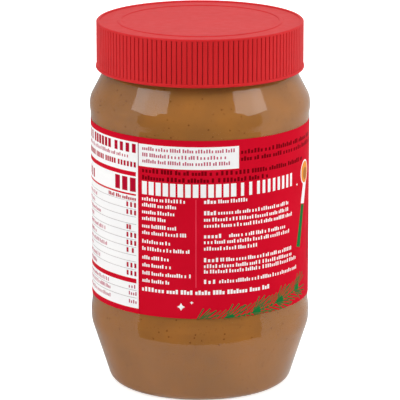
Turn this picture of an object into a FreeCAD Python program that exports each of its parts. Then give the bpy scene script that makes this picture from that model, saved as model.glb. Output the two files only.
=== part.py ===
"""A filled peanut butter jar: a clear wide-mouth jar, its contents, a wrap label and a ribbed screw lid.

Millimetres, +Z up, the label's seam side towards -Y. The origin is the middle of the ring that the jar
stands on. The sheet "Sizes" holds every driving size, and each outline is written in terms of those.
"""

import FreeCAD, Part
import os
import re

import Sketcher
from FreeCAD import Vector

SIZES = [
    ("body_radius", 50.2, "the two bumper bands above and below the label"),
    ("foot_taper", 9.2, "how much narrower than the body the taper is where it would meet the ground"),
    ("foot_ring_width", 8.0, "width of the ring that the jar stands on, up to that point"),
    ("pushup_run", 13.0, "level run of the slope from the foot ring to the flat of the raised bottom"),
    ("pushup_height", 4.0, "how far the bottom is raised inside the foot ring"),
    ("pushup_fillet", 8.0, "round of the raised bottom's crown"),
    ("foot_fillet", 5.0, "round at the outside of the foot"),
    ("foot_inner_fillet", 2.0, "round at the inside of the foot ring"),
    ("knee_height", 28.8, "where the taper would meet the upright body"),
    ("knee_fillet", 14.0, "soft round between taper and body"),
    ("lower_band_height", 5.5, "lower bumper band"),
    ("ledge_run", 3.5, "height over which a band eases into the panel"),
    ("ledge_fillet", 8.0, "rounds of that ease"),
    ("panel_inset", 0.45, "how far the label panel is set back from the bands"),
    ("panel_height", 87.7, "label panel between the two eases"),
    ("upper_band_height", 3.8, "upper bumper band"),
    ("shoulder_rise", 13.4, "height of the sloping shoulder"),
    ("shoulder_ease", 2.45, "how far from the corner of band and shoulder their round begins"),
    ("neck_radius", 43.2, "outside of the neck between its threads"),
    ("neck_height", 19.9, "neck from the shoulder to the mouth, which the lid seats on"),
    ("neck_fillet", 1.5, "hollow round between shoulder and neck"),
    ("rim_fillet", 0.4, "rounds of the mouth"),
    ("wall", 0.7, "jar wall, measured level"),
    ("neck_wall", 1.3, "wall of the neck, measured level"),
    ("base_wall", 1.4, "floor of the jar"),
    ("headspace", 9.0, "from the contents' surface up to the mouth"),
    ("thread_depth", 1.15, "how far the jar's thread stands off the neck"),
    ("thread_pitch", 5.08, "rise of one turn, five turns to the inch"),
    ("thread_root", 2.2, "height of a thread where it leaves the wall"),
    ("thread_crest", 1.0, "height of a thread at its crest"),
    ("thread_turns", 1.2, "turns of thread on the neck and in the lid"),
    ("thread_drop", 6.2, "from the mouth down to the upper end of the jar's thread"),
    ("thread_clearance", 0.3, "gap between a crest and the wall that it faces"),
    ("lid_wall", 2.35, "lid's skirt out to its ribs"),
    ("lid_gap", 0.35, "how far the lid's lower edge stays above the foot of the neck"),
    ("lid_top_thickness", 1.6, "the lid's flat panel"),
    ("lid_top_recess", 0.6, "how far that panel lies below the raised edge"),
    ("lid_edge_width", 1.5, "width of the raised edge"),
    ("lid_edge_fillet", 0.7, "round of the lid's upper edge"),
    ("lid_corner_fillet", 1.0, "inside corner between the lid's panel and skirt"),
    ("stack_ring_gap", 8.3, "from the raised edge in to the low ring on the lid's panel"),
    ("stack_ring_width", 1.2, "width of that ring"),
    ("stack_ring_height", 0.3, "how far that ring stands up"),
    ("flange_height", 2.2, "plain band at the lid's lower edge"),
    ("flange_step", 0.3, "how far that band stands out past the ribs"),
    ("flange_fillet", 0.6, "round of the band's lower edge"),
    ("rib_count", 128, "ribs round the lid"),
    ("groove_width", 0.7, "groove between two ribs, at its mouth"),
    ("groove_floor", 0.4, "that groove's floor"),
    ("groove_depth", 0.4, "how deep that groove is"),
    ("groove_top_gap", 0.9, "plain lid above the grooves"),
    ("label_gap_below", 4.0, "panel left bare below the label"),
    ("label_gap_above", 2.0, "panel left bare above the label"),
    ("label_thickness", 0.15, "label with its glue"),
    ("lap_width", 9.0, "how far the label's end overlaps its start"),
    ("seam_angle", 33.2, "from the front to the label's end, towards -X"),
]
NAMES = [name for name, _, _ in SIZES]

# Radii and heights that more than one outline uses, in terms of the sizes.
PANEL = "(body_radius - panel_inset)"
BASE = "(body_radius - foot_taper)"
FOOT_INNER = f"({BASE} - foot_ring_width)"
PUSHUP = f"({FOOT_INNER} - pushup_run)"
BAND_TOP = "(knee_height + lower_band_height)"
PANEL_LOW = f"({BAND_TOP} + ledge_run)"
PANEL_HIGH = f"({PANEL_LOW} + panel_height)"
BAND_LOW = f"({PANEL_HIGH} + ledge_run)"
SHOULDER = f"({BAND_LOW} + upper_band_height)"
NECK_LOW = f"({SHOULDER} + shoulder_rise)"
MOUTH = f"({NECK_LOW} + neck_height)"
SHOULDER_TURN = "abs(atan((body_radius - neck_radius) / shoulder_rise))"
SHOULDER_ROUND = f"(shoulder_ease / tan({SHOULDER_TURN} / 2))"
BORE = "(neck_radius - neck_wall)"
FLOOR = "(pushup_height + base_wall)"
FILL_TOP = f"({MOUTH} - headspace)"
LID_BORE = "(neck_radius + thread_depth + thread_clearance)"
LID_OUTER = f"({LID_BORE} + lid_wall)"
LID_EDGE = f"({LID_OUTER} - lid_edge_width)"
LID_PANEL = f"({MOUTH} + lid_top_thickness)"
LID_TOP = f"({LID_PANEL} + lid_top_recess)"
LID_BOTTOM = f"({NECK_LOW} + lid_gap)"
FLANGE_TOP = f"({LID_BOTTOM} + flange_height)"
STACK_RING = f"({LID_EDGE} - stack_ring_gap)"
THREAD_START = f"({MOUTH} - thread_drop - thread_turns * thread_pitch)"
LABEL_LOW = f"({PANEL_LOW} + label_gap_below)"
LABEL_HEIGHT = "(panel_height - label_gap_below - label_gap_above)"

# Inside of the jar, from the middle of its floor up to the neck: radius, height, fillet.
INSIDE = [
    ("0", FLOOR, None),
    (PUSHUP, FLOOR, "pushup_fillet"),
    (FOOT_INNER, "base_wall", "foot_inner_fillet"),
    (f"{BASE} + foot_taper / knee_height * base_wall - wall", "base_wall", "foot_fillet - wall"),
    ("body_radius - wall", "knee_height", "knee_fillet"),
    ("body_radius - wall", BAND_TOP, "ledge_fillet"),
    (f"{PANEL} - wall", PANEL_LOW, "ledge_fillet"),
    (f"{PANEL} - wall", PANEL_HIGH, "ledge_fillet"),
    ("body_radius - wall", BAND_LOW, "ledge_fillet"),
    ("body_radius - wall", SHOULDER, f"{SHOULDER_ROUND} - wall"),
    (BORE, NECK_LOW, "neck_fillet"),
]
# Outside of the jar, from the middle of its underside up to the mouth.
OUTSIDE = [
    ("0", "pushup_height", None),
    (PUSHUP, "pushup_height", "pushup_fillet"),
    (FOOT_INNER, "0", "foot_inner_fillet"),
    (BASE, "0", "foot_fillet"),
    ("body_radius", "knee_height", "knee_fillet"),
    ("body_radius", BAND_TOP, "ledge_fillet"),
    (PANEL, PANEL_LOW, "ledge_fillet"),
    (PANEL, PANEL_HIGH, "ledge_fillet"),
    ("body_radius", BAND_LOW, "ledge_fillet"),
    ("body_radius", SHOULDER, SHOULDER_ROUND),
    ("neck_radius", NECK_LOW, "neck_fillet"),
    ("neck_radius", MOUTH, "rim_fillet"),
]
LID = [
    ("0", LID_PANEL, None),
    (f"{STACK_RING} - stack_ring_width", LID_PANEL, None),
    (f"{STACK_RING} - stack_ring_width", f"{LID_PANEL} + stack_ring_height", None),
    (STACK_RING, f"{LID_PANEL} + stack_ring_height", None),
    (STACK_RING, LID_PANEL, None),
    (LID_EDGE, LID_PANEL, None),
    (LID_EDGE, LID_TOP, None),
    (LID_OUTER, LID_TOP, "lid_edge_fillet"),
    (LID_OUTER, FLANGE_TOP, None),
    (f"{LID_OUTER} + flange_step", f"{FLANGE_TOP} - flange_step", None),
    (f"{LID_OUTER} + flange_step", LID_BOTTOM, "flange_fillet"),
    (LID_BORE, LID_BOTTOM, None),
    (LID_BORE, MOUTH, "lid_corner_fillet"),
    ("0", MOUTH, None),
]


def bound(terms):
    """Sizes in an expression are cells of the sheet."""
    return re.sub(r"[a-z_]+", lambda word: "Sizes." + word[0] if word[0] in NAMES else word[0], terms)


def measure(terms):
    """Present value of an expression of the sizes."""
    return float(sheet.evalExpression(bound(terms)))


def bind(sketch, kind, places, terms):
    """Adds a dimension to a sketch and ties it to the sheet."""
    index = sketch.addConstraint(Sketcher.Constraint(kind, *places, measure(terms)))
    name = f"{kind}{index}"
    sketch.renameConstraint(index, name)
    sketch.setExpression(f"Constraints.{name}", bound(terms))


def plane_of(body, role):
    return next(plane for plane in body.Origin.OriginFeatures if plane.Role == role)


def new_sketch(body, name, role, height="0"):
    """A sketch on one of the body's own planes, raised along that plane's normal."""
    sketch = body.newObject("Sketcher::SketchObject", name)
    sketch.AttachmentSupport = [(plane_of(body, role), "")]
    sketch.MapMode = "FlatFace"
    sketch.setExpression("AttachmentOffset.Base.z", bound(height))
    return sketch


def outline(body, name, corners, role="XZ_Plane", height="0"):
    """Closed outline of straight runs through corners, each placed by two dimensions, with tangent rounds."""
    sketch = new_sketch(body, name, role, height)
    points = [Vector(measure(across), measure(up), 0) for across, up, _ in corners]
    count = len(points)
    for i in range(count):
        sketch.addGeometry(Part.LineSegment(points[i], points[(i + 1) % count]))
    for i in range(count):
        sketch.addConstraint(Sketcher.Constraint("Coincident", i, 2, (i + 1) % count, 1))
    for i, (across, up, _) in enumerate(corners):
        for kind, terms, axis in (("DistanceX", across, -2), ("DistanceY", up, -1)):
            if terms == "0":
                sketch.addConstraint(Sketcher.Constraint("PointOnObject", i, 1, axis))
            else:
                bind(sketch, kind, (-1, 1, i, 1), terms)
    for i, (_, _, radius) in enumerate(corners):
        if radius:
            arc = sketch.GeometryCount
            sketch.fillet(i, 1, measure(radius), True, True)
            bind(sketch, "Radius", (arc,), radius)
    return sketch


def revolve(body, name, corners):
    """Turns an outline in the XZ plane once round the upright axis."""
    feature = body.newObject("PartDesign::Revolution", name)
    feature.Profile = outline(body, name + "Outline", corners)
    feature.ReferenceAxis = (feature.Profile[0], ["V_Axis"])
    feature.Angle = 360
    document.recompute()
    return feature


def thread(body, name, wall_radius, crest_radius, start):
    """One helical ridge with sloping flanks, from the wall out to its crest."""
    root_low = f"{start} - thread_root / 2"
    root_high = f"{start} + thread_root / 2"
    crest_low = f"{start} - thread_crest / 2"
    crest_high = f"{start} + thread_crest / 2"
    corners = [(wall_radius, root_low, None), (crest_radius, crest_low, None),
               (crest_radius, crest_high, None), (wall_radius, root_high, None)]
    section = outline(body, name + "Section", corners)
    ridge = body.newObject("PartDesign::AdditiveHelix", name)
    ridge.Profile = section
    ridge.ReferenceAxis = (section, ["V_Axis"])
    ridge.Mode = "pitch-height-angle"
    ridge.setExpression("Pitch", bound("thread_pitch"))
    ridge.setExpression("Height", bound("thread_turns * thread_pitch"))
    document.recompute()
    return ridge


def make_jar():
    """Blown clear jar: push-up foot, taper, bumper bands, shoulder, threaded neck."""
    body = document.addObject(BODY, "jar")
    mouth = [(BORE, MOUTH, "rim_fillet")]
    revolve(body, "Shell", OUTSIDE + mouth + INSIDE[::-1])
    # The ridge starts inside the wall, so that it grows out of it without a gap.
    thread(body, "Thread", "neck_radius - neck_wall / 2", "neck_radius + thread_depth", THREAD_START)
    return body


def make_contents():
    """Peanut butter that fills the jar's inside up to the headspace."""
    body = document.addObject(BODY, "peanut_butter")
    revolve(body, "Fill", INSIDE + [(BORE, FILL_TOP, None), ("0", FILL_TOP, None)])
    return body


def make_lid():
    """Moulded screw lid: recessed panel, stacking ring, ribbed skirt, plain lower band, thread inside."""
    body = document.addObject(BODY, "lid")
    revolve(body, "Cap", LID)
    groove = body.newObject("PartDesign::Pocket", "Groove")
    groove.Profile = outline(body, "GrooveSection", [
        (f"{LID_OUTER} - groove_depth", "-groove_floor / 2", None),
        (LID_OUTER, "-groove_width / 2", None),
        (f"{LID_OUTER} + flange_step", "-groove_width / 2", None),
        (f"{LID_OUTER} + flange_step", "groove_width / 2", None),
        (LID_OUTER, "groove_width / 2", None),
        (f"{LID_OUTER} - groove_depth", "groove_floor / 2", None),
    ], "XY_Plane", FLANGE_TOP)
    groove.setExpression("Length", bound(f"{LID_TOP} - groove_top_gap - {FLANGE_TOP}"))
    groove.Reversed = True
    document.recompute()
    ribs = body.newObject("PartDesign::PolarPattern", "Ribs")
    ribs.Originals = [groove]
    ribs.Axis = (next(line for line in body.Origin.OriginFeatures if line.Role == "Z_Axis"), [""])
    ribs.Angle = 360
    ribs.setExpression("Occurrences", bound("rib_count"))
    body.Tip = ribs
    document.recompute()
    # The lid's ridge runs half a turn's rise below the jar's, so the two interlock without touching.
    start = f"({THREAD_START} - thread_pitch / 2)"
    thread(body, "Thread", f"{LID_BORE} + lid_wall / 2", "neck_radius + thread_clearance", start)
    return body


def lay_arc(sketch, terms, turn=None):
    """A circle, or an arc over the given turn, round the sketch's origin with a bound radius."""
    curve = Part.Circle(Vector(0, 0, 0), Vector(0, 0, 1), measure(terms))
    if turn:
        curve = Part.ArcOfCircle(curve, *turn)
    index = sketch.addGeometry(curve)
    sketch.addConstraint(Sketcher.Constraint("Coincident", index, 3, -1, 1))
    bind(sketch, "Radius", (index,), terms)
    return index


def pad(body, name, sketch, length):
    feature = body.newObject("PartDesign::Pad", name)
    feature.Profile = sketch
    feature.setExpression("Length", bound(length))
    document.recompute()
    return feature


def make_label():
    """Wrap label glued round the panel, its end lapped over its start."""
    body = document.addObject(BODY, "label")
    ring = new_sketch(body, "RingSection", "XY_Plane", LABEL_LOW)
    lay_arc(ring, PANEL)
    lay_arc(ring, f"{PANEL} + label_thickness")
    pad(body, "Wrap", ring, LABEL_HEIGHT)

    # The lap's sketch is turned until its X axis points at the seam, where the label's end lies.
    lap = new_sketch(body, "LapSection", "XY_Plane", LABEL_LOW)
    lap.setExpression("AttachmentOffset.Rotation.Angle", bound("-90 - seam_angle"))
    width = f"lap_width / {PANEL}"
    turn = measure(width)
    inner = lay_arc(lap, f"{PANEL} + label_thickness / 2", (-turn, 0))
    outer = lay_arc(lap, f"{PANEL} + 2 * label_thickness", (-turn, 0))
    start = FreeCAD.Rotation(Vector(0, 0, -1), Radian=turn).multVec(Vector(1, 0, 0))
    for end, direction in ((1, start), (2, Vector(1, 0, 0))):
        low = direction * measure(f"{PANEL} + label_thickness / 2")
        high = direction * measure(f"{PANEL} + 2 * label_thickness")
        edge = lap.addGeometry(Part.LineSegment(low, high))
        lap.addConstraint(Sketcher.Constraint("Coincident", edge, 1, inner, end))
        lap.addConstraint(Sketcher.Constraint("Coincident", edge, 2, outer, end))
        lap.addConstraint(Sketcher.Constraint("PointOnObject", -1, 1, edge))
        if end == 2:
            lap.addConstraint(Sketcher.Constraint("Horizontal", edge))
        else:
            bind(lap, "Angle", (edge,), f"-({width}) * 1 rad")
    pad(body, "Lap", lap, LABEL_HEIGHT)
    return body


document = FreeCAD.newDocument("PeanutButterJar")
sheet = document.addObject("Spreadsheet::Sheet", "Sizes")
BODY = "PartDesign::Body"
for row, (name, value, meaning) in enumerate(SIZES, start=1):
    sheet.set(f"A{row}", meaning)
    sheet.set(f"B{row}", str(value))
    sheet.setAlias(f"B{row}", name)
document.recompute()

nodes = [make_jar(), make_contents(), make_lid(), make_label()]
document.recompute()

for item in document.Objects:
    if "Invalid" in item.State or "Error" in item.State:
        raise RuntimeError(f"{item.Name} failed: {item.State}")
os.makedirs("parts", exist_ok=True)
for node in nodes:
    shape = node.Shape
    if shape.isNull() or not shape.isValid() or len(shape.Solids) != 1:
        raise RuntimeError(f"{node.Label} is not one sound solid")
    print(f"{node.Label}: {shape.Volume / 1000:.1f} cm3, {len(shape.Faces)} faces")
for node in nodes:
    node.Shape.exportStep(f"parts/{node.Label}.step")
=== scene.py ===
# %% [markdown]
# # A jar of peanut butter
# The real thing is four pieces: a clear blown jar, the spread that fills it, a film label glued round it
# and a ribbed screw lid. The measured solids come from the CAD frame. This lesson gives them their looks:
# a lid whose ribs are made by Geometry Nodes, a label whose print is cut into its surface as fields of
# colour, a smooth spread that touches the inside of the wall, and clear plastic over it.

import math
import random

import bmesh
import bpy
from mathutils import Matrix, Vector
from mathutils.geometry import delaunay_2d_cdt


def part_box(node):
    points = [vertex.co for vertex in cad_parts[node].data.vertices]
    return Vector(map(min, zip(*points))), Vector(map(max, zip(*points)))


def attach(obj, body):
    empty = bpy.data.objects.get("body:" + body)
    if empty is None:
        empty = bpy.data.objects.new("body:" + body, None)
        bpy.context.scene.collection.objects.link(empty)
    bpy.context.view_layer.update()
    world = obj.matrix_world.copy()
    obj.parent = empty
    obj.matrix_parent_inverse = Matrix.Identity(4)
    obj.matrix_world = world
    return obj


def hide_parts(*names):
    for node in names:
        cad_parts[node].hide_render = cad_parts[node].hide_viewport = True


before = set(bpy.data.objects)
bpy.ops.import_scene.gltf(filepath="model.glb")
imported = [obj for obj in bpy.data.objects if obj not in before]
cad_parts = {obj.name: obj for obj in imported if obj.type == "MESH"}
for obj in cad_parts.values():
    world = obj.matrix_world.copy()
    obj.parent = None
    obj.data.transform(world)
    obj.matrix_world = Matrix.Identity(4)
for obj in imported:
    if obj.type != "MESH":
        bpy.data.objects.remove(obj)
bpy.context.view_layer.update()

MM = 0.001
_, jar_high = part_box("jar")
_, fill_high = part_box("peanut_butter")
lid_low, lid_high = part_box("lid")
label_low, label_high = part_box("label")
print("jar", round(2 * jar_high.x / MM, 1), "mm wide, closed height", round(lid_high.z / MM, 1), "mm")

# %% [markdown]
# ## Small helpers
# Every finished piece sits at the origin with its place in its mesh, so materials that read Object
# coordinates stay put. Meshes are made in code, then shaded smooth with their real corners kept sharp.

# %% Mesh helpers
SHARP = math.radians(35)
ARC_STEP = math.radians(6)


def show(name, mesh):
    """Puts a mesh in the scene as a piece, smooth except at its corners."""
    mesh.name = name
    mesh.polygons.foreach_set("use_smooth", [True] * len(mesh.polygons))
    mesh.set_sharp_from_angle(angle=SHARP)
    piece = bpy.data.objects.new(name, mesh)
    bpy.context.scene.collection.objects.link(piece)
    print(name, len(mesh.vertices), "points,", len(mesh.polygons), "faces")
    return piece


def rounded(corners):
    """An outline through (radius, height, round) corners in millimetres, with every round as an arc."""
    points = []
    for index, (radius, height, bend) in enumerate(corners):
        here = Vector((radius, height))
        if not bend:
            points.append(here)
            continue
        back = (Vector(corners[index - 1][:2]) - here).normalized()
        ahead = (Vector(corners[(index + 1) % len(corners)][:2]) - here).normalized()
        half = back.angle(ahead) / 2
        centre = here + (back + ahead).normalized() * bend / math.sin(half)
        start = here + back * bend / math.tan(half) - centre
        end = here + ahead * bend / math.tan(half) - centre
        turn = math.pi - 2 * half
        count = max(3, math.ceil(turn / ARC_STEP))
        for part in range(count + 1):
            share = part / count
            before = math.sin((1 - share) * turn) / math.sin(turn)
            after = math.sin(share * turn) / math.sin(turn)
            points.append(centre + start * before + end * after)
    return points


def lathe(outline, segments=192):
    """Turns a closed outline round the Z axis. An outline point on the axis becomes one pole."""
    build = bmesh.new()
    rings = []
    for radius, height in outline:
        count = segments if radius > 0.001 else 1
        ring = []
        for index in range(count):
            angle = 2 * math.pi * index / segments
            spot = Vector((radius * math.cos(angle), radius * math.sin(angle), height)) * MM
            ring.append(build.verts.new(spot))
        rings.append(ring)
    for low, high in zip(rings, rings[1:] + rings[:1]):
        if len(low) == len(high) == 1:
            continue
        for index in range(segments):
            corners = []
            for ring, place in ((low, index), (low, index + 1), (high, index + 1), (high, index)):
                corner = ring[place % len(ring)]
                if corner not in corners:
                    corners.append(corner)
            build.faces.new(corners)
    bmesh.ops.recalc_face_normals(build, faces=build.faces)
    mesh = bpy.data.meshes.new("turned")
    build.to_mesh(mesh)
    build.free()
    return mesh


# %% [markdown]
# ## One shader group for slightly uneven finishes
# Moulded plastic, printed film and a fatty spread are never one flat colour: their shade drifts over
# centimetres and their gloss over millimetres, with a fine grain on top. One node group makes those three
# from noise on Object coordinates. Each material puts in its own two colours and sizes.

# %% Shader group: uneven finish
NOISE_LOW = 0.32
NOISE_HIGH = 0.68
BUMP_STRENGTH = 0.6


def add_socket(tree, name, kind, side="INPUT"):
    tree.interface.new_socket(name, in_out=side, socket_type="NodeSocket" + kind)


def noise(tree, place, scale, detail=3.0):
    """A noise texture read at the given place. Its scale is a number or another node's output."""
    texture = tree.nodes.new("ShaderNodeTexNoise")
    texture.inputs["Detail"].default_value = detail
    tree.links.new(place, texture.inputs["Vector"])
    if isinstance(scale, float):
        texture.inputs["Scale"].default_value = scale
    else:
        tree.links.new(scale, texture.inputs["Scale"])
    return texture.outputs["Fac"]


def math_node(tree, operation, *values):
    """A maths node whose inputs are numbers or other nodes' outputs."""
    step = tree.nodes.new("ShaderNodeMath")
    step.operation = operation
    for socket, value in zip(step.inputs, values):
        if isinstance(value, (int, float)):
            socket.default_value = value
        else:
            tree.links.new(value, socket)
    return step.outputs[0]


def mix_colour(tree, share, first, second):
    """Mixes two colours, given as colours or as other nodes' outputs, by a mask."""
    step = tree.nodes.new("ShaderNodeMix")
    step.data_type = "RGBA"
    tree.links.new(share, step.inputs["Factor"])
    for name, value in (("A", first), ("B", second)):
        socket = next(item for item in step.inputs if item.name == name and item.type == "RGBA")
        if isinstance(value, tuple):
            socket.default_value = value
        else:
            tree.links.new(value, socket)
    return next(item for item in step.outputs if item.type == "RGBA")


def stretched(tree, value):
    """Spreads a noise, which keeps near its middle, over the whole range."""
    spread_out = tree.nodes.new("ShaderNodeMapRange")
    tree.links.new(value, spread_out.inputs["Value"])
    spread_out.inputs["From Min"].default_value = NOISE_LOW
    spread_out.inputs["From Max"].default_value = NOISE_HIGH
    return spread_out


def make_uneven_group():
    tree = bpy.data.node_groups.new("Uneven finish", "ShaderNodeTree")
    for name in ("Colour", "Shade"):
        add_socket(tree, name, "Color")
    for name in ("Drift Scale", "Gloss Scale", "Grain Scale", "Rough Low", "Rough High"):
        add_socket(tree, name, "Float")
    for name, kind in (("Colour", "Color"), ("Roughness", "Float"), ("Height", "Float")):
        add_socket(tree, name, kind, side="OUTPUT")
    start = tree.nodes.new("NodeGroupInput").outputs
    end = tree.nodes.new("NodeGroupOutput").inputs
    place = tree.nodes.new("ShaderNodeTexCoord").outputs["Object"]
    drift = stretched(tree, noise(tree, place, start["Drift Scale"]))
    colour = mix_colour(tree, drift.outputs["Result"], start["Colour"], start["Shade"])
    tree.links.new(colour, end["Colour"])
    gloss = stretched(tree, noise(tree, place, start["Gloss Scale"]))
    tree.links.new(start["Rough Low"], gloss.inputs["To Min"])
    tree.links.new(start["Rough High"], gloss.inputs["To Max"])
    tree.links.new(gloss.outputs["Result"], end["Roughness"])
    tree.links.new(noise(tree, place, start["Grain Scale"], 2.0), end["Height"])
    return tree


uneven = make_uneven_group()
print("group", uneven.name, "with", len(uneven.nodes), "nodes")


# %% Colours and the material maker
def tint(red, green, blue):
    """A colour given as it looks on a screen (0 to 255), as the linear value that shaders need."""
    channels = []
    for value in (red, green, blue):
        share = value / 255
        channels.append(share / 12.92 if share <= 0.04045 else ((share + 0.055) / 1.055) ** 2.4)
    return (*channels, 1.0)


def finish(name, colour, shade, rough, sizes, grain, **plain):
    """A Principled material fed by the uneven-finish group. Plain values go on its own sockets.

    Rough is the lowest and highest roughness, sizes the scales of drift, gloss and grain, and grain how
    deep the bump is in millimetres.
    """
    material = bpy.data.materials.new(name)
    material.use_nodes = True
    tree = material.node_tree
    surface = tree.nodes["Principled BSDF"]
    group = tree.nodes.new("ShaderNodeGroup")
    group.node_tree = uneven
    group.inputs["Colour"].default_value = colour
    group.inputs["Shade"].default_value = shade
    group.inputs["Rough Low"].default_value = rough[0]
    group.inputs["Rough High"].default_value = rough[1]
    for socket, size in zip(("Drift Scale", "Gloss Scale", "Grain Scale"), sizes):
        group.inputs[socket].default_value = size
    tree.links.new(group.outputs["Colour"], surface.inputs["Base Color"])
    tree.links.new(group.outputs["Roughness"], surface.inputs["Roughness"])
    bump = tree.nodes.new("ShaderNodeBump")
    bump.inputs["Strength"].default_value = BUMP_STRENGTH
    bump.inputs["Distance"].default_value = grain * MM
    tree.links.new(group.outputs["Height"], bump.inputs["Height"])
    tree.links.new(bump.outputs["Normal"], surface.inputs["Normal"])
    for socket, value in plain.items():
        surface.inputs[socket.replace("_", " ")].default_value = value
    return material, tree, surface, group


# %% [markdown]
# ## Camera
# A long lens far away: the sides of the jar stay almost upright, and only the lid's top and the curved
# edges of the label show that the view is from a little above.

# %% Camera
VIEW_DOWN = math.radians(14.41)
VIEW_DISTANCE = 1.423
AIM_HEIGHT = 0.0839
LENS = 279

camera_data = bpy.data.cameras.new("camera")
camera_data.lens = LENS
camera = bpy.data.objects.new("camera", camera_data)
bpy.context.scene.collection.objects.link(camera)
back = -VIEW_DISTANCE * math.cos(VIEW_DOWN)
camera.location = (0, back, AIM_HEIGHT + VIEW_DISTANCE * math.sin(VIEW_DOWN))
camera.rotation_euler = (math.pi / 2 - VIEW_DOWN, 0, 0)
bpy.context.scene.camera = camera
print("camera", round(VIEW_DISTANCE, 2), "m away,", round(math.degrees(VIEW_DOWN), 1), "degrees down")

# %% [markdown]
# ## Clear plastic
# The jar is blown PET, 0.7 mm thick, clear and glossy. Full transmission with the right index gives its
# reflections and its pale edges. Light that falls on the spread behind it would only arrive as caustics,
# which render slowly, so shadow rays pass straight through by way of the Light Path node. The blown
# surface is a little wavy, which a very low bump shows in the reflections.

# %% Jar material
PET_INDEX = 1.47


def make_clear_plastic():
    material, tree, surface, _ = finish(
        "clear_plastic", tint(252, 252, 250), tint(246, 247, 244), (0.06, 0.09), (25.0, 60.0, 45.0), 0.12,
        IOR=PET_INDEX, Transmission_Weight=1.0)
    output = tree.nodes["Material Output"]
    path = tree.nodes.new("ShaderNodeLightPath")
    clear = tree.nodes.new("ShaderNodeBsdfTransparent")
    blend = tree.nodes.new("ShaderNodeMixShader")
    tree.links.new(path.outputs["Is Shadow Ray"], blend.inputs["Fac"])
    tree.links.new(surface.outputs["BSDF"], blend.inputs[1])
    tree.links.new(clear.outputs["BSDF"], blend.inputs[2])
    tree.links.new(blend.outputs["Shader"], output.inputs["Surface"])
    return material


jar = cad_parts["jar"]
jar.material_slots[0].material = make_clear_plastic()
print("jar wears", jar.material_slots[0].material.name)

# %% [markdown]
# ## The spread
# Smooth peanut butter is pressed against the wall with no air between, so its skin is seen through the
# plastic. The piece is turned from the jar's own outline, but reaches half-way into the wall: were it
# to end at the wall's inside, a thin line of air would show. Its top is level where the filler left it.

# %% Spread: shape
WALL = 0.7
FLOOR = 1.4
REACH = 0.35
BODY = jar_high.x / MM
PANEL = label_high.y / MM - 0.15
PANEL_LOW = label_low.z / MM - 4.0
PANEL_HIGH = label_high.z / MM + 2.0
LEDGE = 3.5
NECK_BORE = 41.9
NECK_DROP = 19.9
TAPER = 9.2
BOTTOM_RISE = 5.4
DOME = 20.0
FOOT_RING = 33.0

side = [
    (BODY - TAPER, 0, 5.0),
    (BODY, PANEL_LOW - LEDGE - 5.5, 14.0),
    (BODY, PANEL_LOW - LEDGE, 8.0),
    (PANEL, PANEL_LOW, 8.0),
    (PANEL, PANEL_HIGH, 8.0),
    (BODY, PANEL_HIGH + LEDGE, 8.0),
    (BODY, PANEL_HIGH + LEDGE + 3.8, 9.6),
    (NECK_BORE + WALL, jar_high.z / MM - NECK_DROP, 1.5),
]
sink = WALL - REACH
slope = (side[1][0] - side[0][0]) / side[1][1]
foot = FLOOR - REACH
outline = [(0, BOTTOM_RISE - REACH, None), (DOME, BOTTOM_RISE - REACH, 8.0), (FOOT_RING, foot, 2.0)]
outline.append((side[0][0] + slope * foot - sink, foot, 4.0))
outline += [(radius - sink, height, bend) for radius, height, bend in side[1:]]
outline += [(NECK_BORE + REACH, fill_high.z / MM, 0.6), (0, fill_high.z / MM, None)]
spread = show("spread", lathe(rounded(outline)))


# %% [markdown]
# The colour of the spread: roasted-nut brown that drifts a little, with tiny dark flecks of skin here and
# there. The flecks are the cells of a Voronoi pattern that lie very near their middle, and a second noise
# keeps most of them away, so that only a few show in every square centimetre.

# %% Spread: material
# Each kind of fleck: its pattern's scale, its size in a cell, how rare it is, and how dark.
FLECKS = ((330.0, 0.15, 0.46, 0.5), (600.0, 0.14, 0.47, 0.35))


def make_spread_material():
    material, tree, surface, group = finish(
        "peanut_butter", tint(170, 114, 55), tint(157, 107, 56), (0.5, 0.65), (70.0, 300.0, 300.0), 0.01,
        Specular_IOR_Level=0.03)
    place = tree.nodes.new("ShaderNodeTexCoord").outputs["Object"]
    colour = group.outputs["Colour"]
    for scale, size, rare, dark in FLECKS:
        cells = tree.nodes.new("ShaderNodeTexVoronoi")
        cells.inputs["Scale"].default_value = scale
        tree.links.new(place, cells.inputs["Vector"])
        near = math_node(tree, "LESS_THAN", cells.outputs["Distance"], size)
        kept = math_node(tree, "GREATER_THAN", noise(tree, place, scale * 0.8, 1.0), rare)
        mask = math_node(tree, "MULTIPLY", math_node(tree, "MULTIPLY", near, kept), dark)
        colour = mix_colour(tree, mask, colour, tint(92, 38, 14))
    tree.links.new(colour, surface.inputs["Base Color"])
    return material


spread.data.materials.append(make_spread_material())
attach(spread, "root")
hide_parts("peanut_butter")

# %% [markdown]
# ## The lid
# A moulded polypropylene cap: a thin shell with a raised edge, a plain band at the bottom, and 128 low ribs
# for grip in between. The shell is turned from an outline. A rib is one small rounded bar, so a Geometry
# Nodes tree makes one, sets copies of it round a circle and joins them to the shell.

# %% Lid: shell
BAND_PROUD = 0.3
LID = lid_high.x / MM - BAND_PROUD
LID_TOP = lid_high.z / MM
LID_LOW = lid_low.z / MM
MOUTH = jar_high.z / MM
LID_BORE = 44.65
RIB_COUNT = 128
RIB_DEPTH = 0.5
RIB_SPACE = 0.39
RIB_ROUND = 0.14
RIB_ROOT = 0.3
RIB_LOW = LID_LOW + 1.5
RIB_HIGH = LID_TOP - 0.85
PANEL_TOP = MOUTH + 1.6
RING = 37.2
LID_SEGMENTS = 384

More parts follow.
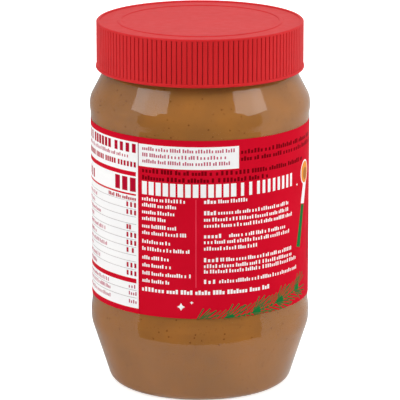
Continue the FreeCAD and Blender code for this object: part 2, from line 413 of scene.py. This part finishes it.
lid_outline = [
    (0, PANEL_TOP, None),
    (RING - 1.5, PANEL_TOP, 0.4),
    (RING - 1.2, PANEL_TOP + 0.3, 0.2),
    (RING, PANEL_TOP + 0.3, 0.2),
    (RING + 0.3, PANEL_TOP, 0.4),
    (LID - 1.7, PANEL_TOP, 0.35),
    (LID - 1.5, LID_TOP, 0.3),
    (LID, LID_TOP, 0.7),
    (LID, RIB_HIGH, 0.12),
    (LID - RIB_DEPTH, RIB_HIGH - 0.15, None),
    (LID - RIB_DEPTH, RIB_LOW, None),
    (LID, RIB_LOW - 0.05, 0.1),
    (LID + BAND_PROUD, RIB_LOW - 0.35, 0.25),
    (LID + BAND_PROUD, LID_LOW, 0.6),
    (LID_BORE, LID_LOW, 0.3),
    (LID_BORE, MOUTH, 1.0),
    (0, MOUTH, None),
]
shell = show("lid_shell", lathe(rounded(lid_outline), LID_SEGMENTS))


# %% Geometry Nodes: ribs round a circle
def geometry_tree(name, inputs):
    """A tree with a Geometry input and output and the named inputs given as {name: socket kind}."""
    tree = bpy.data.node_groups.new(name, "GeometryNodeTree")
    add_socket(tree, "Geometry", "Geometry")
    for label, kind in inputs.items():
        add_socket(tree, label, kind)
    add_socket(tree, "Geometry", "Geometry", side="OUTPUT")
    start = tree.nodes.new("NodeGroupInput").outputs
    end = tree.nodes.new("NodeGroupOutput").inputs
    return tree, start, end


def node(tree, kind, settings=None, **inputs):
    """A node with its settings, and its inputs given as values or as other nodes' outputs."""
    made = tree.nodes.new(kind)
    for name, value in (settings or {}).items():
        setattr(made, name, value)
    for name, value in inputs.items():
        wanted = name.replace("_", " ")
        socket = next(item for item in made.inputs if item.name == wanted and item.enabled)
        if isinstance(value, bpy.types.NodeSocket):
            tree.links.new(value, socket)
        else:
            socket.default_value = value
    return made


def make_rib_tree():
    tree, start, end = geometry_tree("Ribs round a circle", {
        "Count": "Int", "Radius": "Float", "Width": "Float", "Depth": "Float", "Round": "Float",
        "Low": "Float", "High": "Float", "Material": "Material"})
    section = node(tree, "GeometryNodeCurvePrimitiveQuadrilateral",
                   Width=start["Depth"], Height=start["Width"])
    soft = node(tree, "GeometryNodeFilletCurve", {"mode": "POLY"},
                Curve=section.outputs[0], Radius=start["Round"], Count=3)
    foot_point = node(tree, "ShaderNodeCombineXYZ", Z=start["Low"])
    head_point = node(tree, "ShaderNodeCombineXYZ", Z=start["High"])
    spine = node(tree, "GeometryNodeCurvePrimitiveLine",
                 Start=foot_point.outputs[0], End=head_point.outputs[0])
    rib = node(tree, "GeometryNodeCurveToMesh",
               Curve=spine.outputs[0], Profile_Curve=soft.outputs[0], Fill_Caps=True)
    circle = node(tree, "GeometryNodeMeshCircle", Vertices=start["Count"], Radius=start["Radius"])
    outward = node(tree, "FunctionNodeAlignRotationToVector", {"axis": "X"},
                   Vector=node(tree, "GeometryNodeInputPosition").outputs[0])
    copies = node(tree, "GeometryNodeInstanceOnPoints", Points=circle.outputs[0],
                  Instance=rib.outputs[0], Rotation=outward.outputs[0])
    real = node(tree, "GeometryNodeRealizeInstances", Geometry=copies.outputs[0])
    both = node(tree, "GeometryNodeJoinGeometry")
    tree.links.new(real.outputs[0], both.inputs[0])
    tree.links.new(start["Geometry"], both.inputs[0])
    coloured = node(tree, "GeometryNodeSetMaterial", Geometry=both.outputs[0], Material=start["Material"])
    tree.links.new(coloured.outputs[0], end["Geometry"])
    return tree


def grow(piece, tree, **values):
    """Runs a tree on a piece with the given inputs, and gives back the result as a plain mesh."""
    modifier = piece.modifiers.new(tree.name, "NODES")
    modifier.node_group = tree
    for item in tree.interface.items_tree:
        if item.in_out == "INPUT" and item.name.replace(" ", "_") in values:
            modifier[item.identifier] = values[item.name.replace(" ", "_")]
    ready = piece.evaluated_get(bpy.context.evaluated_depsgraph_get())
    mesh = bpy.data.meshes.new_from_object(ready)
    piece.modifiers.remove(modifier)
    return mesh


# %% [markdown]
# Red polypropylene has a satin gloss and a soft sheen, and its mould leaves a fine grain. The floors of the
# grooves between the ribs are painted a deeper red, as painted shade between the ribs.

# %% Lid: ribs and material
def make_lid_material():
    material, tree, surface, group = finish(
        "red_lid", tint(214, 34, 38), tint(209, 30, 34), (0.5, 0.58), (40.0, 250.0, 1400.0), 0.006,
        Specular_IOR_Level=0.14, Sheen_Weight=0.2, Sheen_Roughness=0.45, Sheen_Tint=tint(255, 150, 150))
    # Painted shade: the groove floors between the ribs, found by radius and height, get a darker red.
    place = tree.nodes.new("ShaderNodeTexCoord").outputs["Object"]
    flat = tree.nodes.new("ShaderNodeVectorMath")
    flat.operation = "MULTIPLY"
    flat.inputs[1].default_value = (1, 1, 0)
    tree.links.new(place, flat.inputs[0])
    radius = tree.nodes.new("ShaderNodeVectorMath")
    radius.operation = "LENGTH"
    tree.links.new(flat.outputs[0], radius.inputs[0])
    outside = math_node(tree, "GREATER_THAN", radius.outputs["Value"], (LID - 1.0) * MM)
    sunk = math_node(tree, "LESS_THAN", radius.outputs["Value"], (LID - RIB_DEPTH + 0.06) * MM)
    split = tree.nodes.new("ShaderNodeSeparateXYZ")
    tree.links.new(place, split.inputs[0])
    low = math_node(tree, "LESS_THAN", split.outputs["Z"], (RIB_HIGH - 0.2) * MM)
    painted_groove_shade = math_node(tree, "MULTIPLY", math_node(tree, "MULTIPLY", outside, sunk), low)
    tree.links.new(mix_colour(tree, painted_groove_shade, group.outputs["Colour"], tint(152, 8, 10)),
                   surface.inputs["Base Color"])
    return material


lid_material = make_lid_material()
rib_pitch = 2 * math.pi * LID / RIB_COUNT
rib_outside = LID - 0.04
rib_depth = RIB_DEPTH + 0.12
lid_mesh = grow(
    shell, make_rib_tree(), Count=RIB_COUNT, Radius=(rib_outside - rib_depth / 2) * MM,
    Width=(rib_pitch - RIB_SPACE) * MM, Depth=rib_depth * MM, Round=RIB_ROUND * MM,
    Low=(RIB_LOW - RIB_ROOT) * MM, High=(RIB_HIGH + RIB_ROOT) * MM, Material=lid_material)
bpy.data.objects.remove(shell)
lid = show("screw_lid", lid_mesh)
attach(lid, "root")
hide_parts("lid")
print("ribs every", round(rib_pitch, 2), "mm")

# %% [markdown]
# ## The label
# A printed film, glued round the jar, with its end lapped over its start. It is drawn flat first: x runs
# along the label from the seam, y up from its lower edge, both in millimetres. Every printed shape is a
# polygon with an ink. A constrained triangulation then cuts the flat sheet along all their outlines, so
# the print is part of one surface, flush and sharp from close up, and the sheet is wrapped at the end.

# %% Label: inks
INKS = {
    "ground": (tint(212, 15, 42), tint(206, 12, 38)),
    "white": (tint(254, 253, 252), tint(249, 248, 248)),
    "deep": (tint(122, 4, 16), tint(110, 2, 12)),
    "figures": (tint(184, 14, 46), tint(174, 11, 42)),
    "blush": (tint(232, 62, 84), tint(226, 52, 74)),
    "faint": (tint(192, 84, 108), tint(184, 76, 100)),
    "rule": (tint(196, 190, 190), tint(180, 174, 174)),
    "line": (tint(142, 122, 128), tint(134, 114, 120)),
    "needle": (tint(84, 100, 54), tint(66, 108, 56)),
    "leaf": (tint(30, 124, 62), tint(24, 112, 54)),
    "caramel": (tint(244, 164, 76), tint(236, 150, 62)),
    "shade": (tint(190, 128, 66), tint(180, 116, 56)),
}
INK_NAMES = list(INKS)
HEIGHT = (label_high.z - label_low.z) / MM
FILM = 0.13
GLUE = 0.02
LAP = 9.0
SEAM_TURN = 33.2
SEAM = math.radians(-90 - SEAM_TURN)
AROUND = 2 * math.pi * (PANEL + FILM)
STAR_WAIST = 0.5
shapes = []


def draw(ink, corners):
    """Adds one printed polygon over those before it."""
    shapes.append((INK_NAMES.index(ink), corners))


def bar(ink, left, bottom, right, top):
    draw(ink, [(left, bottom), (right, bottom), (right, top), (left, top)])


def oval(ink, x, y, wide, high, count=40, lean=0.0):
    """An ellipse, leaning by an angle."""
    corners = []
    for index in range(count):
        angle = 2 * math.pi * index / count
        across = wide / 2 * math.cos(angle)
        up = high / 2 * math.sin(angle)
        corners.append((x + across * math.cos(lean) - up * math.sin(lean),
                        y + across * math.sin(lean) + up * math.cos(lean)))
    draw(ink, corners)


def star(ink, x, y, reach):
    """A four-pointed star."""
    corners = []
    for index in range(8):
        angle = math.pi / 4 * index
        radius = reach if index % 2 == 0 else reach * STAR_WAIST
        corners.append((x + radius * math.cos(angle), y + radius * math.sin(angle)))
    draw(ink, corners)


# %% [markdown]
# Small print becomes rows of plain marks, as a designer greeks text in a layout: marks as wide as letters,
# in runs as long as words. Needles on a sprig are the same thing on a curved path, leaning to one side. So
# one tree does both: it puts marks along a path at even steps, skips some, and makes some of them short.

# %% Geometry Nodes: marks along a path
SEED_STEP = 71


def make_mark_tree():
    tree, start, end = geometry_tree("Marks along a path", {
        "Step": "Float", "Width": "Float", "Height": "Float", "Short": "Float", "Short Share": "Float",
        "Skip Share": "Float", "Lean": "Float", "Seed": "Int", "Material": "Material"})
    path = node(tree, "GeometryNodeMeshToCurve", Mesh=start["Geometry"])
    steps = node(tree, "GeometryNodeResampleCurve", {"mode": "LENGTH"},
                 Curve=path.outputs[0], Length=start["Step"])
    points = node(tree, "GeometryNodeCurveToPoints", {"mode": "EVALUATED"}, Curve=steps.outputs[0])
    quad = node(tree, "GeometryNodeMeshGrid", Size_X=1.0, Size_Y=1.0, Vertices_X=2, Vertices_Y=2)
    mark = node(tree, "GeometryNodeTransform", Geometry=quad.outputs[0], Translation=(0.5, 0.5, 0.0))
    skipped = node(tree, "FunctionNodeRandomValue", {"data_type": "BOOLEAN"},
                   Probability=start["Skip Share"], Seed=start["Seed"])
    stays = node(tree, "FunctionNodeBooleanMath", {"operation": "NOT"})
    tree.links.new(next(item for item in skipped.outputs if item.enabled), stays.inputs[0])
    other_seed = node(tree, "ShaderNodeMath", {"operation": "ADD"})
    tree.links.new(start["Seed"], other_seed.inputs[0])
    other_seed.inputs[1].default_value = SEED_STEP
    shorter = node(tree, "FunctionNodeRandomValue", {"data_type": "BOOLEAN"},
                   Probability=start["Short Share"], Seed=other_seed.outputs[0])
    factor = node(tree, "GeometryNodeSwitch", {"input_type": "FLOAT"},
                  Switch=next(item for item in shorter.outputs if item.enabled))
    factor.inputs["False"].default_value = 1.0
    tree.links.new(start["Short"], factor.inputs["True"])
    tall = node(tree, "ShaderNodeMath", {"operation": "MULTIPLY"})
    tree.links.new(start["Height"], tall.inputs[0])
    tree.links.new(factor.outputs[0], tall.inputs[1])
    size = node(tree, "ShaderNodeCombineXYZ", X=start["Width"], Y=tall.outputs[0], Z=1.0)
    along = node(tree, "FunctionNodeAlignRotationToVector", {"axis": "X"},
                 Vector=points.outputs["Tangent"])
    lean = node(tree, "ShaderNodeCombineXYZ", Z=start["Lean"])
    turned = node(tree, "FunctionNodeRotateRotation", {"rotation_space": "LOCAL"},
                  Rotation=along.outputs[0])
    tree.links.new(lean.outputs[0], turned.inputs[1])
    copies = node(tree, "GeometryNodeInstanceOnPoints", Points=points.outputs[0],
                  Selection=stays.outputs[0], Instance=mark.outputs[0], Rotation=turned.outputs[0],
                  Scale=size.outputs[0])
    real = node(tree, "GeometryNodeRealizeInstances", Geometry=copies.outputs[0])
    coloured = node(tree, "GeometryNodeSetMaterial", Geometry=real.outputs[0], Material=start["Material"])
    tree.links.new(coloured.outputs[0], end["Geometry"])
    return tree


mark_tree = make_mark_tree()
print("mark tree has", len(mark_tree.nodes), "nodes")


# %% Printing marks
SHORT = 0.72


def marks(ink, paths, step, width, height, short_share=0.0, skip=0.0, lean=0.0):
    """Prints marks along flat paths. A mark's height may be negative, which puts it under the path."""
    points, edges = [], []
    for path in paths:
        edges += [(len(points) + index, len(points) + index + 1) for index in range(len(path) - 1)]
        points += [(x, y, 0) for x, y in path]
    mesh = bpy.data.meshes.new("paths")
    mesh.from_pydata(points, edges, [])
    carrier = bpy.data.objects.new("paths", mesh)
    bpy.context.scene.collection.objects.link(carrier)
    result = grow(carrier, mark_tree, Step=step, Width=width, Height=height, Short=SHORT,
                  Short_Share=short_share, Skip_Share=skip, Lean=lean, Seed=len(shapes))
    for face in result.polygons:
        draw(ink, [tuple(result.vertices[corner].co[:2]) for corner in face.vertices])
    bpy.data.meshes.remove(result)
    bpy.data.objects.remove(carrier)
    bpy.data.meshes.remove(mesh)


# %% [markdown]
# The layout follows a common grocery label. A white panel with ruled rows of figures ends at the seam. To
# its right are a white box, two bands of dark print, a heading, and a list beside a set of paragraphs, with
# a spoon and a fir sprig as ornaments. Each block lists only its rows' places and leaves the rest to loops.

# %% Label: ground and the white panel of figures
bar("ground", -LAP, 0, AROUND, HEIGHT)

PANEL_RIGHT = AROUND - 0.22
PANEL_LEFT = AROUND - 62
TEXT_RIGHT = PANEL_RIGHT - 1.1
TEXT_LEFT = PANEL_LEFT + 1.5
SMALL = 1.7
SMALL_MOST = 2.1


def rows(ink, places, height, bold=False):
    """Lines of small print, each given by its left end, its base and its right end."""
    letter = height * (0.52 if bold else 0.4)
    step = height * (0.7 if bold else 0.6)
    words = []
    for left, base, right in places:
        dice = random.Random(len(shapes) + len(words))
        while right - left > step * 1.4:
            count = dice.choice((2, 3, 4, 4, 5, 6, 7, 8))
            end = min(left + (count - 1) * step, right - letter)
            words.append([(left, base), (end, base)])
            left = end + step + letter * 0.9
    marks(ink, words, step, letter, height, short_share=0.0 if height > SMALL_MOST else 0.55)


def figures_panel():
    bar("white", PANEL_LEFT, 2.4, PANEL_RIGHT, HEIGHT - 2.6)
    bar("line", PANEL_RIGHT, 68.6, AROUND, 78.8)
    rows("figures", [(TEXT_LEFT, 74.1, TEXT_RIGHT)], 4.1, bold=True)
    rows("faint", [(TEXT_LEFT, 71.5, TEXT_RIGHT - 3)], SMALL)
    rows("figures", [(TEXT_LEFT, 67.5, TEXT_RIGHT)], 2.4, bold=True)
    bar("ground", TEXT_LEFT, 63.4, TEXT_RIGHT, 65.4)
    rows("figures", [(TEXT_LEFT, 56.6, TEXT_LEFT + 26)], 4.2, bold=True)
    marks("figures", [[(TEXT_RIGHT - 12.9, 56.2), (TEXT_RIGHT - 3.4, 56.2)]], 4.7, 3.3, 6.4)
    bar("ground", TEXT_LEFT, 54.5, TEXT_RIGHT, 55.3)
    rows("figures", [(TEXT_RIGHT - 18, 52.2, TEXT_RIGHT)], SMALL, bold=True)
    for height in (51.6, 48.1, 44.6, 41.2, 37.7, 34.0, 30.5, 26.8, 23.8, 20.1):
        bar("rule", TEXT_LEFT, height, TEXT_RIGHT, height + 0.25)
    lines = (49.0, 45.5, 42.1, 38.6, 35.0, 31.4, 27.9, 24.6, 21.0, 17.3)
    ends = (30, 26, 34, 24, 38, 28, 40, 22, 34, 30)
    rows("faint", [(TEXT_LEFT, line, TEXT_LEFT + end) for line, end in zip(lines, ends)], SMALL)
    valued = [line for index, line in enumerate(lines) if index not in (2, 7)]
    rows("figures", [(TEXT_RIGHT - 5.6, line, TEXT_RIGHT) for line in valued], 2.2, bold=True)
    bar("ground", TEXT_LEFT, 14.0, TEXT_RIGHT, 16.1)
    for height in (10.5, 7.0):
        bar("rule", TEXT_LEFT, height, TEXT_RIGHT, height + 0.25)
    rows("faint", [(TEXT_LEFT, line, TEXT_LEFT + 42) for line in (11.4, 8.2, 4.4)], SMALL)
    rows("faint", [(TEXT_RIGHT - 4.4, line, TEXT_RIGHT) for line in (11.4, 8.2, 4.4)], SMALL)


figures_panel()
print("figures panel:", len(shapes), "printed shapes so far")


# %% Label: box, dark bands and heading
PARAGRAPH_LEFT = 30.7


def front_print():
    bar("line", 0, 68.6, 0.12, 78.8)
    bar("white", 0.12, 68.6, 46.5, 78.8)
    rows("faint", [(2, 76.1, 44.5), (2, 73.2, 40.5), (2, 70.4, 42.3)], SMALL)
    dark_rows = [(47.5, 75.0, 101), (47.5, 71.8, 101), (1.9, 65.9, 87.5), (1.9, 62.7, 61.4)]
    rows("deep", dark_rows, 2.0, bold=True)
    marks("white", [[(1.8, 55.9), (42.8, 55.9)]], 3.4, 2.5, 6.0)
    marks("white", [[(47.5, 55.9), (51.5, 55.9)], [(55.5, 55.9), (76.0, 55.9)]], 2.9, 1.5, 6.0)
    heights = (53.9, 51.1, 47.9, 44.9, 41.4, 38.4, 34.3, 31.0, 26.9, 23.4, 19.7, 16.2)
    ends = (22.2, 18.2, 18.6, 15.2, 18.2, 22.7, 15.4, 24.2, 14.7, 15.7, 25.4, 15.2)
    rows("white", [(1.8, middle - 0.8, end) for middle, end in zip(heights, ends)], SMALL)
    bar("blush", 26.85, 14.5, 27.35, 55.0)
    paragraphs = {
        54.0: 52.9, 48.8: 76.1, 45.8: 74.6, 43.0: 78.6, 38.2: 72.4, 35.5: 76.2, 32.5: 55.6,
        27.2: 77.2, 24.4: 79.8, 21.9: 81.2, 17.2: 81.8}
    first_words = {54.0: 36.0, 48.8: 36.0, 38.2: 41.0, 27.2: 37.0, 17.2: 36.5}
    starts = {middle: first_words.get(middle, PARAGRAPH_LEFT - 1) + 1 for middle in paragraphs}
    rows("white", [(starts[middle], middle - 0.8, end) for middle, end in paragraphs.items()], SMALL)
    first_rows = [(PARAGRAPH_LEFT, middle - 0.9, end) for middle, end in first_words.items()]
    rows("white", first_rows, 1.9, bold=True)
    rows("white", [(1.6, 11.2, 62.4)], 2.0, bold=True)
    bar("deep", 96.6, 17.5, 97.4, 33)


front_print()
print("front:", len(shapes), "printed shapes so far")

# %% [markdown]
# Ornaments: a fir sprig is one bent stem with needles on both sides, drawn by the same tree of marks with
# their lean reversed. A spoon is an oval bowl, a collar and a tapered handle.

# %% Label: sprig, spoon and stars
NEEDLE = 11.0
TUFT = 12.0
FAN = ((0.2, 1.0), (0.42, 1.0), (0.66, 0.85), (0.95, 0.7))


def bent(start, middle, end, count=14):
    """A curve from start to end that is drawn towards the middle point."""
    points = []
    for index in range(count + 1):
        share = index / count
        points.append(tuple((1 - share) ** 2 * a + 2 * share * (1 - share) * b + share ** 2 * c
                            for a, b, c in zip(start, middle, end)))
    return points


def sprig(start, middle, end):
    """A stem with thin needles on both sides, which fan out from a bright tuft every so often."""
    stem = bent(start, middle, end)
    for side in (1, -1):
        marks("needle", [stem], TUFT / 5, NEEDLE * 0.75, 0.55 * side, short_share=0.3, skip=0.05,
              lean=0.55 * side)
        for lean, share in FAN:
            marks("needle", [stem], TUFT, NEEDLE * share, 0.62 * side, lean=lean * side)
    for lean in (0.3, 0.1, -0.1, -0.3):
        marks("leaf", [stem], TUFT, 4.0, 0.8, lean=lean)
    for (left, low), (right, high) in zip(stem, stem[1:]):
        draw("leaf", [(left, low - 0.3), (right, high - 0.3), (right, high + 0.3), (left, low + 0.3)])


def spoon(x, y):
    oval("white", x, y, 9.9, 11.4)
    oval("caramel", x, y, 8.6, 10.0)
    oval("shade", x + 0.6, y - 0.8, 4.8, 5.6)
    draw("white", [(x - 4.6, y - 13.8), (x - 0.6, y - 14.6), (x + 2.4, y - 5.4), (x - 1.8, y - 4.6)])
    draw("leaf", [(x - 9.0, y - 33), (x - 5.4, y - 34), (x - 0.8, y - 15), (x - 4.2, y - 14.2)])


sprig((27, -2), (54, 0.4), (80.5, 6.6))
spoon(91, 59.5)
for x, y, reach in ((20.4, 5.4, 1.8), (25.2, 7.5, 0.8), (82.1, 55.5, 0.7)):
    star("white", x, y, reach)
print("ornaments:", len(shapes), "printed shapes so far")

# %% [markdown]
# The far side gets what such a label often has there: a plain oval banner with a thin line inside it and a
# pair of peanuts, between two sprigs. It stays free of any words.

# %% Label: far side
def peanut(x, y, size, lean):
    """Two joined ovals with short ridges."""
    along = Vector((math.cos(lean), math.sin(lean)))
    across = Vector((-along.y, along.x))
    for ink, grow_by in (("shade", 1.12), ("caramel", 1.0)):
        for shift in (-0.42, 0.42):
            centre = Vector((x, y)) + along * shift * size
            oval(ink, *centre, size * grow_by, size * 0.78 * grow_by, lean=lean)
    for ridge in range(-3, 4):
        middle = Vector((x, y)) + along * ridge * size * 0.2
        for lift in (-0.16, 0.16):
            spot = middle + across * lift * size
            oval("shade", *spot, size * 0.1, size * 0.045, 12, lean)


def far_side(x):
    middle = HEIGHT / 2 + 4
    oval("white", x, middle, 78, 42, 72)
    oval("ground", x, middle, 74, 38.4, 72)
    oval("white", x, middle, 72.6, 37.2, 72)
    peanut(x - 13, middle + 1, 19, math.radians(24))
    peanut(x + 14, middle - 2, 17, math.radians(-18))
    for lift in (6.4, 9.6):
        bar("deep", x - 34, lift, x + 34, lift + 1.1)
    for side in (-1, 1):
        sprig((x + side * 44, 5), (x + side * 52, 22), (x + side * 47, 40))
        star("white", x + side * 41, HEIGHT - 10, 2.4)
        star("white", x + side * 30, HEIGHT - 7, 1.2)
    rows("white", [(x - 24, HEIGHT - 9.5, x + 24)], 2.6, bold=True)


far_side(AROUND * 0.575)
print("far side:", len(shapes), "printed shapes in all")

# %% [markdown]
# Now the flat sheet is cut along every outline, and along upright lines every two millimetres so that it
# can bend. Each small face takes the ink of the topmost shape over it. Then the sheet is rolled up. It
# rises by its own thickness just before the lap, and gets its back and its edges.

# %% Label: cut, roll and thicken
COLUMN = 2.0
STRIP = 8.0
RISE = 3.0
MERGE = 0.0005


def group_shapes():
    """Sorts the shapes into strips of the sheet, so that a point is compared only with those near it."""
    near = {}
    for ink, corners in shapes:
        across = [x for x, _ in corners]
        for strip in range(int(min(across) // STRIP), int(max(across) // STRIP) + 1):
            near.setdefault(strip, []).append((ink, corners))
    return near


def covers(corners, x, y):
    """Whether a polygon covers a point.

    It does when a line from the point to the right crosses the outline an odd number of times.
    """
    inside = False
    for (left, low), (right, high) in zip(corners, corners[1:] + corners[:1]):
        if (low > y) != (high > y) and x < left + (y - low) / (high - low) * (right - left):
            inside = not inside
    return inside


def cut_sheet():
    """Gives the sheet's flat points, its triangles and the topmost ink over each."""
    points, edges = [], []
    for _, corners in shapes:
        first, last = len(points), len(points) + len(corners) - 1
        edges += [(index, index + 1) for index in range(first, last)] + [(last, first)]
        points += [Vector(corner) for corner in corners]
    columns = math.ceil((AROUND + LAP) / COLUMN)
    for index in range(1, columns):
        x = -LAP + (AROUND + LAP) * index / columns
        edges.append((len(points), len(points) + 1))
        points += [Vector((x, 0)), Vector((x, HEIGHT))]
    flat, _, triangles, _, _, _ = delaunay_2d_cdt(points, edges, [], 0, MERGE, False)
    near = group_shapes()
    sheet = shapes[0][1]
    faces, inks = [], []
    for triangle in triangles:
        x, y = sum((flat[corner] for corner in triangle), Vector((0, 0))) / 3
        if covers(sheet, x, y):
            faces.append(triangle)
            local = reversed(near[int(x // STRIP)])
            inks.append(next(ink for ink, corners in local if covers(corners, x, y)))
    return flat, faces, inks


def roll(point, depth):
    """Where a flat point ends up on the jar."""
    x, y = point
    share = min(max((x - (AROUND - LAP - RISE)) / RISE, 0.0), 1.0)
    lift = (FILM + GLUE) * share * share * (3 - 2 * share)
    radius = PANEL + GLUE + depth + lift
    angle = SEAM + x / AROUND * 2 * math.pi
    return radius * math.cos(angle) * MM, radius * math.sin(angle) * MM, label_low.z + y * MM


def roll_label():
    flat, faces, inks = cut_sheet()
    count = len(flat)
    points = [roll(point, FILM - GLUE) for point in flat] + [roll(point, 0.0) for point in flat]
    backs = [[corner + count for corner in reversed(face)] for face in faces]
    used = {}
    for face in faces:
        for pair in zip(face, face[1:] + face[:1]):
            used[pair] = True
    rims = [(b, a, a + count, b + count) for a, b in used if (b, a) not in used]
    mesh = bpy.data.meshes.new("label")
    mesh.from_pydata(points, [], faces + backs + rims)
    mesh.polygons.foreach_set("material_index", inks + [0] * (len(backs) + len(rims)))
    return mesh


label = show("wrap_label", roll_label())

# %% [markdown]
# The inks share one film: a smooth satin sheet with a very fine tooth. They differ only in colour, and
# the paler ones show a little more of the drift in shade that a press leaves.

# %% Label: materials
for name, (colour, shade) in INKS.items():
    ink_material, _, _, _ = finish(
        "ink_" + name, colour, shade, (0.42, 0.52), (45.0, 180.0, 1600.0), 0.006, Specular_IOR_Level=0.01)
    label.data.materials.append(ink_material)
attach(label, "root")
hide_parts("label")
print("label wears", len(INKS), "inks")

# %% [markdown]
# ## The studio
# A pale floor and a white surround. The camera, and whatever reflects or refracts, sees the surround as
# white, but the object itself is lit at a plain level: a weak even fill, two large soft lamps at the front
# left and right, and lamps above, behind and at both sides that reflections don't show. A dark card stands
# in front and a grey one at each side, where only reflections can find them. Photographers use such cards
# to take the glare off clear plastic, which makes the middle of the jar deeper in colour than its sides.

# %% World
FILL_LEVEL = 0.47
world = bpy.data.worlds.new("studio")
bpy.context.scene.world = world
world.use_nodes = True
sky = world.node_tree
fill = sky.nodes["Background"]
fill.inputs["Strength"].default_value = FILL_LEVEL
white = sky.nodes.new("ShaderNodeBackground")
white.inputs["Color"].default_value = (1, 1, 1, 1)
white.inputs["Strength"].default_value = 1.0
fill.inputs["Color"].default_value = (1, 1, 1, 1)
rays = sky.nodes.new("ShaderNodeLightPath")
seen = math_node(sky, "MAXIMUM", rays.outputs["Is Camera Ray"], rays.outputs["Is Glossy Ray"])
seen = math_node(sky, "MAXIMUM", seen, rays.outputs["Is Transmission Ray"])
blend = sky.nodes.new("ShaderNodeMixShader")
sky.links.new(seen, blend.inputs["Fac"])
sky.links.new(fill.outputs[0], blend.inputs[1])
sky.links.new(white.outputs[0], blend.inputs[2])
sky.links.new(blend.outputs[0], sky.nodes["World Output"].inputs["Surface"])
bpy.context.scene.view_settings.view_transform = "Standard"


# %% Lamps
def softbox(name, azimuth, elevation, distance, wide, high, power, roll=0.0):
    """A rectangular lamp that faces the jar. Azimuth 0 is in front, positive to the right."""
    data = bpy.data.lights.new(name, "AREA")
    data.shape = "RECTANGLE"
    data.size, data.size_y, data.energy = wide, high, power
    lamp = bpy.data.objects.new(name, data)
    bpy.context.scene.collection.objects.link(lamp)
    turn, rise = math.radians(azimuth), math.radians(elevation)
    lamp.location = Vector((math.sin(turn) * math.cos(rise), -math.cos(turn) * math.cos(rise),
                            math.sin(rise))) * distance + Vector((0, 0, AIM_HEIGHT))
    facing = Matrix.Rotation(turn, 3, "Z") @ Matrix.Rotation(math.pi / 2 - rise, 3, "X")
    lamp.rotation_euler = (facing @ Matrix.Rotation(math.radians(roll), 3, "Z")).to_euler()
    return lamp


softbox("left_softbox", -60, 42, 0.9, 0.48, 0.54, 2.3, -18)
softbox("right_softbox", 60, 42, 0.9, 0.42, 0.54, 2.3, 18)
softbox("top_softbox", 180, 80, 1.0, 0.6, 0.6, 0.7).visible_glossy = False
softbox("back_softbox", 180, 25, 1.1, 0.9, 0.7, 3.0).visible_glossy = False
for name, azimuth, power in (("left_side", -80, 1.8), ("right_side", 80, 2.5)):
    softbox(name, azimuth, 8, 1.0, 0.5, 0.9, power).visible_glossy = False
print("lamps:", len(bpy.data.lights))


# %% Floor and reflection cards
FLOOR_GLOW = 0.62


def plain_plane(name, corners):
    mesh = bpy.data.meshes.new(name)
    mesh.from_pydata(corners, [], [(0, 1, 2, 3)])
    plane = bpy.data.objects.new(name, mesh)
    bpy.context.scene.collection.objects.link(plane)
    return plane


FLOOR_REACH = 4.0
floor = plain_plane("floor", [(-FLOOR_REACH, -FLOOR_REACH, 0), (FLOOR_REACH, -FLOOR_REACH, 0),
                              (FLOOR_REACH, FLOOR_REACH, 0), (-FLOOR_REACH, FLOOR_REACH, 0)])
floor_material = bpy.data.materials.new("floor")
floor_material.use_nodes = True
surface = floor_material.node_tree.nodes["Principled BSDF"]
surface.inputs["Base Color"].default_value = (0.9, 0.9, 0.9, 1)
surface.inputs["Roughness"].default_value = 0.8
surface.inputs["Emission Color"].default_value = (1, 1, 1, 1)
floor_rays = floor_material.node_tree.nodes.new("ShaderNodeLightPath")
floor_seen = math_node(floor_material.node_tree, "MAXIMUM", floor_rays.outputs["Is Camera Ray"],
                       floor_rays.outputs["Is Transmission Ray"])
floor_glow = math_node(floor_material.node_tree, "MULTIPLY", floor_seen, FLOOR_GLOW)
floor_material.node_tree.links.new(floor_glow, surface.inputs["Emission Strength"])
floor.data.materials.append(floor_material)
floor.visible_glossy = False

CARD_REACH = math.radians(66)
CARD_AWAY = 1.3
CARD_LOW = -0.45
CARD_DIP = 0.19
CARD_HIGH = 1.5
SIDE_LOW = -2.2
SIDE_FADE = math.radians(55)
CARD_STEPS = 48


def make_card(name, first, last, low_edge, dip, shade, fade=0.0):
    """A card bent round the jar that only reflections see. Its lower edge may dip in the middle.

    With a fade, it starts white beside the dark card and reaches its shade after that angle.
    """
    points, shades = [], []
    for index in range(CARD_STEPS + 1):
        turn = first + (last - first) * index / CARD_STEPS
        low = low_edge - dip * math.sin(index / CARD_STEPS * math.pi)
        white = max(0.0, 1 - (abs(turn) - CARD_REACH) / fade) if fade else 0.0
        for height in (low, CARD_HIGH):
            points.append((math.sin(turn) * CARD_AWAY, -math.cos(turn) * CARD_AWAY, height))
            shades.append(shade + (1 - shade) * white)
    faces = [(2 * index, 2 * index + 2, 2 * index + 3, 2 * index + 1) for index in range(CARD_STEPS)]
    mesh = bpy.data.meshes.new(name)
    mesh.from_pydata(points, [], faces)
    mesh.attributes.new("shade", "FLOAT", "POINT").data.foreach_set("value", shades)
    card = bpy.data.objects.new(name, mesh)
    bpy.context.scene.collection.objects.link(card)
    card.visible_camera = card.visible_diffuse = card.visible_shadow = card.visible_transmission = False
    material = bpy.data.materials.new(name)
    material.use_nodes = True
    tree = material.node_tree
    paint = tree.nodes["Principled BSDF"]
    paint.inputs["Base Color"].default_value = (0, 0, 0, 1)
    paint.inputs["Emission Color"].default_value = (1, 1, 1, 1)
    glow = tree.nodes.new("ShaderNodeAttribute")
    glow.attribute_name = "shade"
    tree.links.new(glow.outputs["Fac"], paint.inputs["Emission Strength"])
    mesh.materials.append(material)


make_card("dark_card", -CARD_REACH, CARD_REACH, CARD_LOW, CARD_DIP, 0.02)
make_card("left_card", -math.pi, -CARD_REACH, SIDE_LOW, 0.0, 0.4, SIDE_FADE)
make_card("right_card", CARD_REACH, math.pi, SIDE_LOW, 0.0, 0.66, SIDE_FADE)
